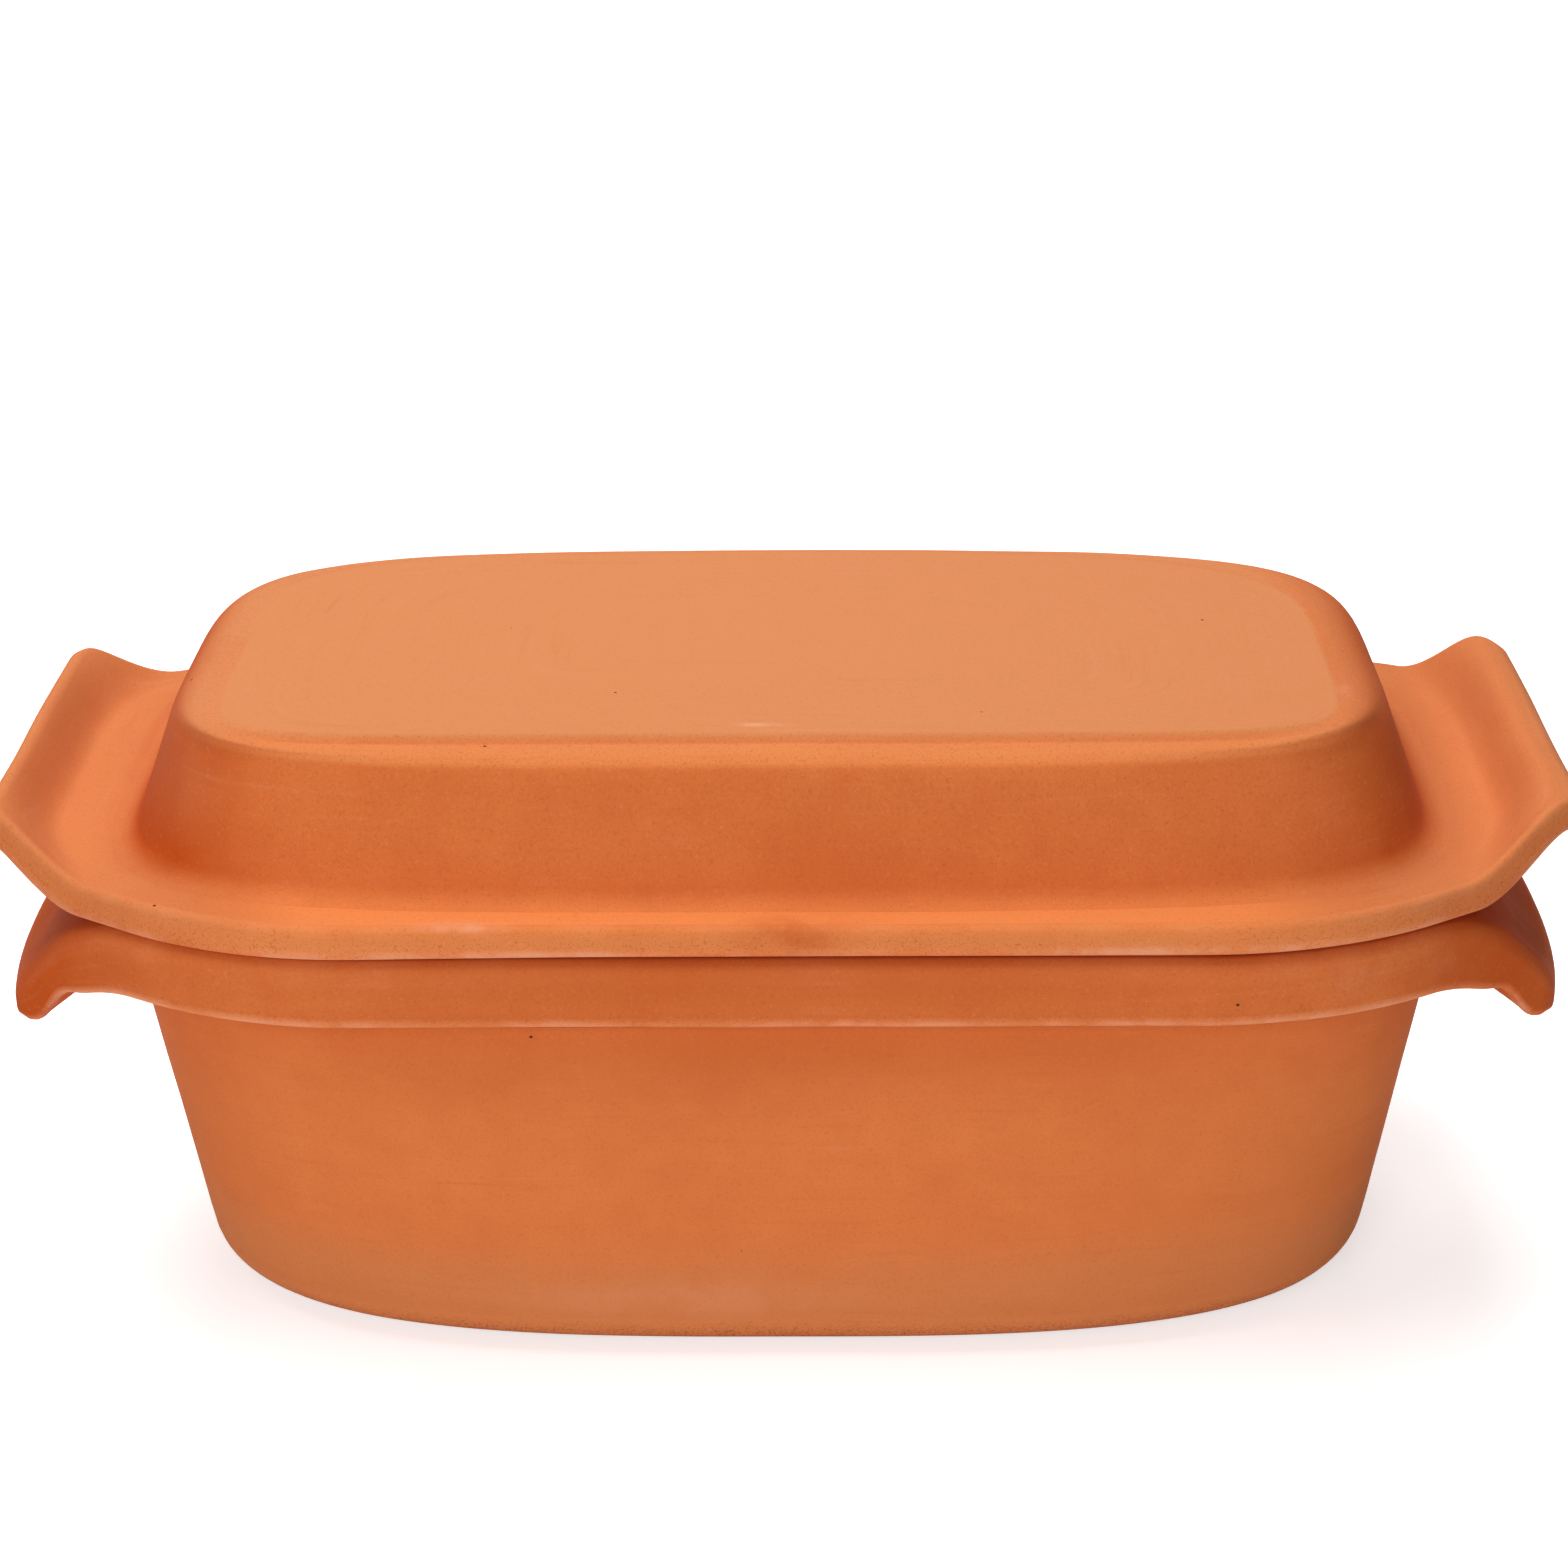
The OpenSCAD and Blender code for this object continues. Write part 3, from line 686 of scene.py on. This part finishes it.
        def tone(p):
            height = min(1.0, max(0.0, (p.z - flangeTop) / s["leftRise"]["height"]))
            band = (marksAndPaintedLight["leftBand"] if p.x < 0 else marksAndPaintedLight["rightBand"]) * (height * (1 - height)) ** 2
            return (mix(*marksAndPaintedLight["flangeTones"], ease(*marksAndPaintedLight["flangeEnds"], abs(p.x))) - band
                    + marksAndPaintedLight["junctionTone"] * near * ease(*marksAndPaintedLight["domeEnds"], abs(p.x)))
        return tone

    def endPale(p):
        return ramp(*marksAndPaintedLight["endPale"], abs(p.x))

    # painted light: the flange's edge is painted brighter along the long sides than at the lugs
    def edgeTone(p):
        return mix(*marksAndPaintedLight["edgeTones"], ease(*marksAndPaintedLight["edgeEnds"], abs(p.x)))

    rings = []
    topLevel, radius = top - s["crown"], s["shoulderRadius"]
    topEdge = shoulder(topLevel, radius, s["creaseInset"], quarterTurn)
    for f in s["topRings"]:
        addRing(rings, shrunk(topEdge, f, s["crown"] * (1 - f ** s["crownPower"])), hand=0.7, pale=1.0)
    addRing(rings, topEdge, hand=0.7, pale=1.0)
    for inset, share in s["creaseRings"]:
        addRing(rings, shoulder(topLevel, radius, s["creaseInset"] * inset, quarterTurn), sunk(share),
                hand=0.7, sandy=0.3, pale=creasePale(share), tone=creaseTone(share))
    for a in steps(18, s["shoulderStart"], lean):
        addRing(rings, shoulder(topLevel, radius, 0, a), sunk(ease(*s["stepEnd"], a)),
                sandy=0.3, pale=shoulderPale(a), tone=shoulderTone(a))
    upper, lower = shoulder(topLevel, radius, 0, lean), domeFoot(lean)
    for f in steps(6, 0.15, 0.85):
        addRing(rings, between(upper, lower, f), sandy=0.3, tone=domeTone(marksAndPaintedLight["sideTone"]))
    # painted light at the foot of the dome's sides, painted shade at its ends
    for a in steps(9, lean, quarterTurn):
        f = ease(lean, quarterTurn, a)
        addRing(rings, domeFoot(a), sandy=0.2, pale=lambda p, f=f: endPale(p) * f,
                tone=domeTone(mix(marksAndPaintedLight["sideTone"], marksAndPaintedLight["lightTone"], f),
                              mix(marksAndPaintedLight["endTone"], marksAndPaintedLight["footEndTone"], f)))
    rolls = [mix(s["edgeRound"], s["crestRound"], ease(*s["crestRoll"], abs(x))) for x, _, _, _ in edge]
    junction, flangeRim = domeFoot(quarterTurn), setIn(edge, rolls, flangeTop)
    for f in steps(18, 0.05, 0.97):
        addRing(rings, between(junction, flangeRim, f), rise, hand=0.8, sandy=0.1, pale=endPale, tone=flangeTone(f))
    for a in steps(8, 0, quarterTurn):
        addRing(rings, setIn(edge, [r * (1 - math.sin(a)) for r in rolls],
                             [flangeTop - r * (1 - math.cos(a)) for r in rolls]),
                rise, hand=0.8, wear=0.1, sandy=0.1 + 0.15 * a, pale=endPale, tone=edgeTone)
    for f in steps(4, 0.2, 0.8):
        addRing(rings, setIn(edge, 0, [mix(flangeTop - r, seat + s["lowerRound"], f) for r in rolls]), warped(f),
                hand=0.8, sandy=mix(0.2, 0.9, f), pale=marksAndPaintedLight["edgePale"], tone=edgeTone)
    for a in steps(6, 0, quarterTurn):
        addRing(rings, setIn(edge, s["lowerRound"] * (1 - math.cos(a)), seat + s["lowerRound"] * (1 - math.sin(a))),
                warped(1), hand=0.8 - 0.5 * a, wear=0.3 + 0.5 * ease(0, 0.8, a), sandy=0.8, tone=edgeTone)
    seatRim = setIn(edge, s["lowerRound"], seat)
    mouth = dome(1, seat, wall + s["lowerRound"])
    # painted shade on the seat, under the lid
    for f in s["seatRings"]:
        addRing(rings, between(seatRim, mouth, f), warped(1 - ease(0, s["seatWarpEnd"], f)),
                hand=0, sandy=0.5, tone=marksAndPaintedLight["seatTone"])
    for a in steps(5, 0, quarterTurn):
        addRing(rings, dome(1, seat + s["lowerRound"] * (1 - math.cos(a)), wall + s["lowerRound"] * (1 - math.sin(a))),
                hand=0, wear=0.5, sandy=0.5)
    ceiling = topLevel - wall
    insideTop, insideFoot = shoulder(ceiling, s["innerShoulder"], wall, lean), dome(1, seat + s["lowerRound"], wall)
    for f in steps(6, 0.15, 0.85):
        addRing(rings, between(insideFoot, insideTop, f), hand=0.8)
    for a in steps(9, lean, quarterTurn):
        addRing(rings, shoulder(ceiling, s["innerShoulder"], wall, a), hand=0.8)
    inside = shoulder(ceiling, s["innerShoulder"], wall, quarterTurn)
    for f in s["ceilingRings"]:
        addRing(rings, shrunk(inside, f), hand=0.6)
    return skinRings("roasterLid", rings, "lid", lidHands, material)


buildPot(clayMaterial("potClay", potLook))
buildLid(clayMaterial("lidClay", lidLook))


# Floor, light and camera

studio = {
    "floorSize": 24.0, "floorColour": (0.88, 0.88, 0.88),
    "nearGlow": 0.60, "farGlow": 1.0, "glowFrom": 0.45, "glowTo": 1.5,   # what the camera sees added, by distance
    "fill": 0.05,                                         # light from all round
    "aim": (0, 0, 0.08),                                  # what every softbox faces
    "softboxes": {
        "overhead": {"size": 1.4, "power": 19.5, "place": (-0.25, 0.0, 1.6)},
        "front": {"size": 1.0, "power": 17.0, "place": (-0.30, -1.8, 0.80)},
        "back": {"size": 1.2, "power": 9.5, "place": (-0.1, 1.3, 1.2)},
    },
}


def seenDirectly(tree):
    # 1 for what the camera, a reflection or a glass shows, 0 for light that falls on things
    rays = node(tree, "LightPath")
    seen = sums(tree, "MAXIMUM", rays.outputs["Is Camera Ray"], rays.outputs["Is Glossy Ray"])
    return sums(tree, "MAXIMUM", seen, rays.outputs["Is Transmission Ray"])


def makeFloor():
    bm = bmesh.new()
    bmesh.ops.create_grid(bm, x_segments=1, y_segments=1, size=studio["floorSize"] / 2)
    mesh = bpy.data.meshes.new("paleFloor")
    bm.to_mesh(mesh)
    bm.free()
    floor = bpy.data.objects.new("paleFloor", mesh)
    scene.collection.objects.link(floor)
    material = bpy.data.materials.new("paleFloor")
    material.use_nodes = True
    tree = material.node_tree
    tree.nodes.clear()
    matt = node(tree, "BsdfDiffuse")
    feed(tree, matt, "Color", (*studio["floorColour"], 1))
    glow = node(tree, "Emission")
    away = node(tree, "VectorMath", operation="LENGTH")
    feed(tree, away, 0, node(tree, "TexCoord").outputs["Object"])
    reach = span(tree, away.outputs["Value"], studio["glowFrom"], studio["glowTo"],
                 studio["nearGlow"], studio["farGlow"])
    feed(tree, glow, "Strength", times(tree, seenDirectly(tree), reach))
    both = node(tree, "AddShader")
    tree.links.new(matt.outputs[0], both.inputs[0])
    tree.links.new(glow.outputs[0], both.inputs[1])
    tree.links.new(both.outputs[0], node(tree, "OutputMaterial").inputs[0])
    mesh.materials.append(material)


def makeLights():
    world = bpy.data.worlds.new("studio")
    world.use_nodes = True
    tree = world.node_tree
    backdrop = tree.nodes["Background"]
    feed(tree, backdrop, "Color", (1, 1, 1, 1))
    seen = seenDirectly(tree)
    feed(tree, backdrop, "Strength", sums(tree, "MULTIPLY_ADD", seen, 1.0 - studio["fill"], studio["fill"]))
    scene.world = world
    for name, box in studio["softboxes"].items():
        lamp = bpy.data.lights.new(name, "AREA")
        lamp.shape = "SQUARE"
        lamp.size = box["size"]
        lamp.energy = box["power"]
        holder = bpy.data.objects.new(name, lamp)
        holder.location = box["place"]
        facing = Vector(studio["aim"]) - Vector(box["place"])
        holder.rotation_euler = facing.to_track_quat("-Z", "Y").to_euler()
        holder.visible_camera = False
        scene.collection.objects.link(holder)


viewpoint = {
    "lens": 77.77, "sensor": 36, "distance": 0.96484, "above": 24.84, "aside": 0.922, "roll": -0.573,
    "target": (0.0, 0.0, 0.085), "shiftX": -0.0011, "shiftY": 0.10274,
}


def makeCamera():
    v = viewpoint
    above, aside = math.radians(v["above"]), math.radians(v["aside"])
    back = Vector((math.sin(aside) * math.cos(above), -math.cos(aside) * math.cos(above), math.sin(above)))
    camera = bpy.data.cameras.new("photoCamera")
    camera.lens = v["lens"]
    camera.sensor_width = v["sensor"]
    camera.shift_x, camera.shift_y = v["shiftX"], v["shiftY"]
    holder = bpy.data.objects.new("photoCamera", camera)
    holder.rotation_mode = "QUATERNION"
    holder.location = Vector(v["target"]) + back * v["distance"]
    holder.rotation_quaternion = ((-back).to_track_quat("-Z", "Y")
                                  @ Quaternion((0, 0, 1), math.radians(v["roll"])))
    scene.collection.objects.link(holder)
    scene.camera = holder


makeFloor()
makeLights()
makeCamera()
scene.view_settings.view_transform = "Standard"
print("studio ready")
